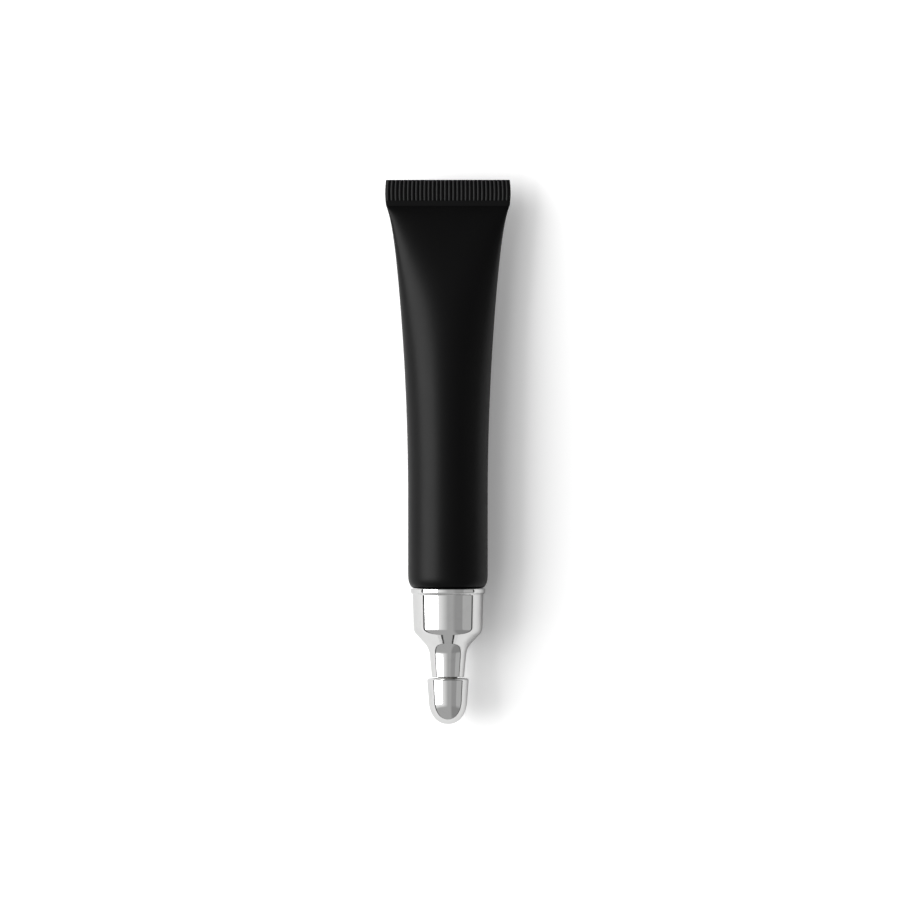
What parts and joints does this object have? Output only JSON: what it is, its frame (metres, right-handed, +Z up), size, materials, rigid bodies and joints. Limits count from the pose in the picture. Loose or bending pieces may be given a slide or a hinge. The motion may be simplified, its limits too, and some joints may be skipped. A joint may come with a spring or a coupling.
{
  "type": "shaving cream tube",
  "caption": "Slim squeeze tube with a flat ridged end seal, a screw-on chromed nozzle with a narrow spout, and a small rounded screw cap on its tip.",
  "frame": {"origin": "centre of the bottom of the bounding box: on the surface the tube lies on, under its axis, midway between the cut end of the seal and the tip of the cap", "axes": "+Z up as the tube lies on its side with the seal level; +Y along the tube's axis towards the sealed end, so the nozzle and cap point to -Y; +X across the flat seal"},
  "size_m": [0.03, 0.1298, 0.0187],
  "materials": {
    "sleeve_plastic": "soft matte black, smooth to the touch",
    "head_plastic": "plain moulded black",
    "cream": "soft white cream",
    "washer_foam": "fine closed foam",
    "insert_plastic": "moulded natural plastic, milky and uncoloured",
    "chromed_metal": "mirror-bright plating on a die-cast shell"
  },
  "bodies": {
    "tube": {"tube_sleeve": "sleeve_plastic", "tube_head": "head_plastic", "cream_fill": "cream"},
    "neck_seal": {"neck_washer": "washer_foam"},
    "nozzle": {"nozzle_insert": "insert_plastic", "nozzle_shell": "chromed_metal"},
    "cap_seal": {"cap_wad": "washer_foam"},
    "cap": {"cap_core": "insert_plastic", "cap_shell": "chromed_metal"}
  },
  "joints": [
    {"name": "nozzle_rise", "type": "slide", "parent": "tube", "child": "neck_seal", "axis": [0, -1, 0], "range_m": [0, 0.009]},
    {"name": "nozzle_turn", "type": "hinge", "parent": "neck_seal", "child": "nozzle", "pos_m": [0, -0.04, 0.00924], "axis": [0, -1, 0], "range_deg": [0, 1080]},
    {"name": "cap_rise", "type": "slide", "parent": "nozzle", "child": "cap_seal", "axis": [0, -1, 0], "range_m": [0, 0.0075]},
    {"name": "cap_turn", "type": "hinge", "parent": "cap_seal", "child": "cap", "pos_m": [0, -0.058, 0.00924], "axis": [0, -1, 0], "range_deg": [0, 900]}
  ],
  "couplings": [
    {"joint": "nozzle_turn", "follows": "nozzle_rise", "rad_per_m": 2094.4},
    {"joint": "cap_turn", "follows": "cap_rise", "rad_per_m": 2094.4}
  ]
}
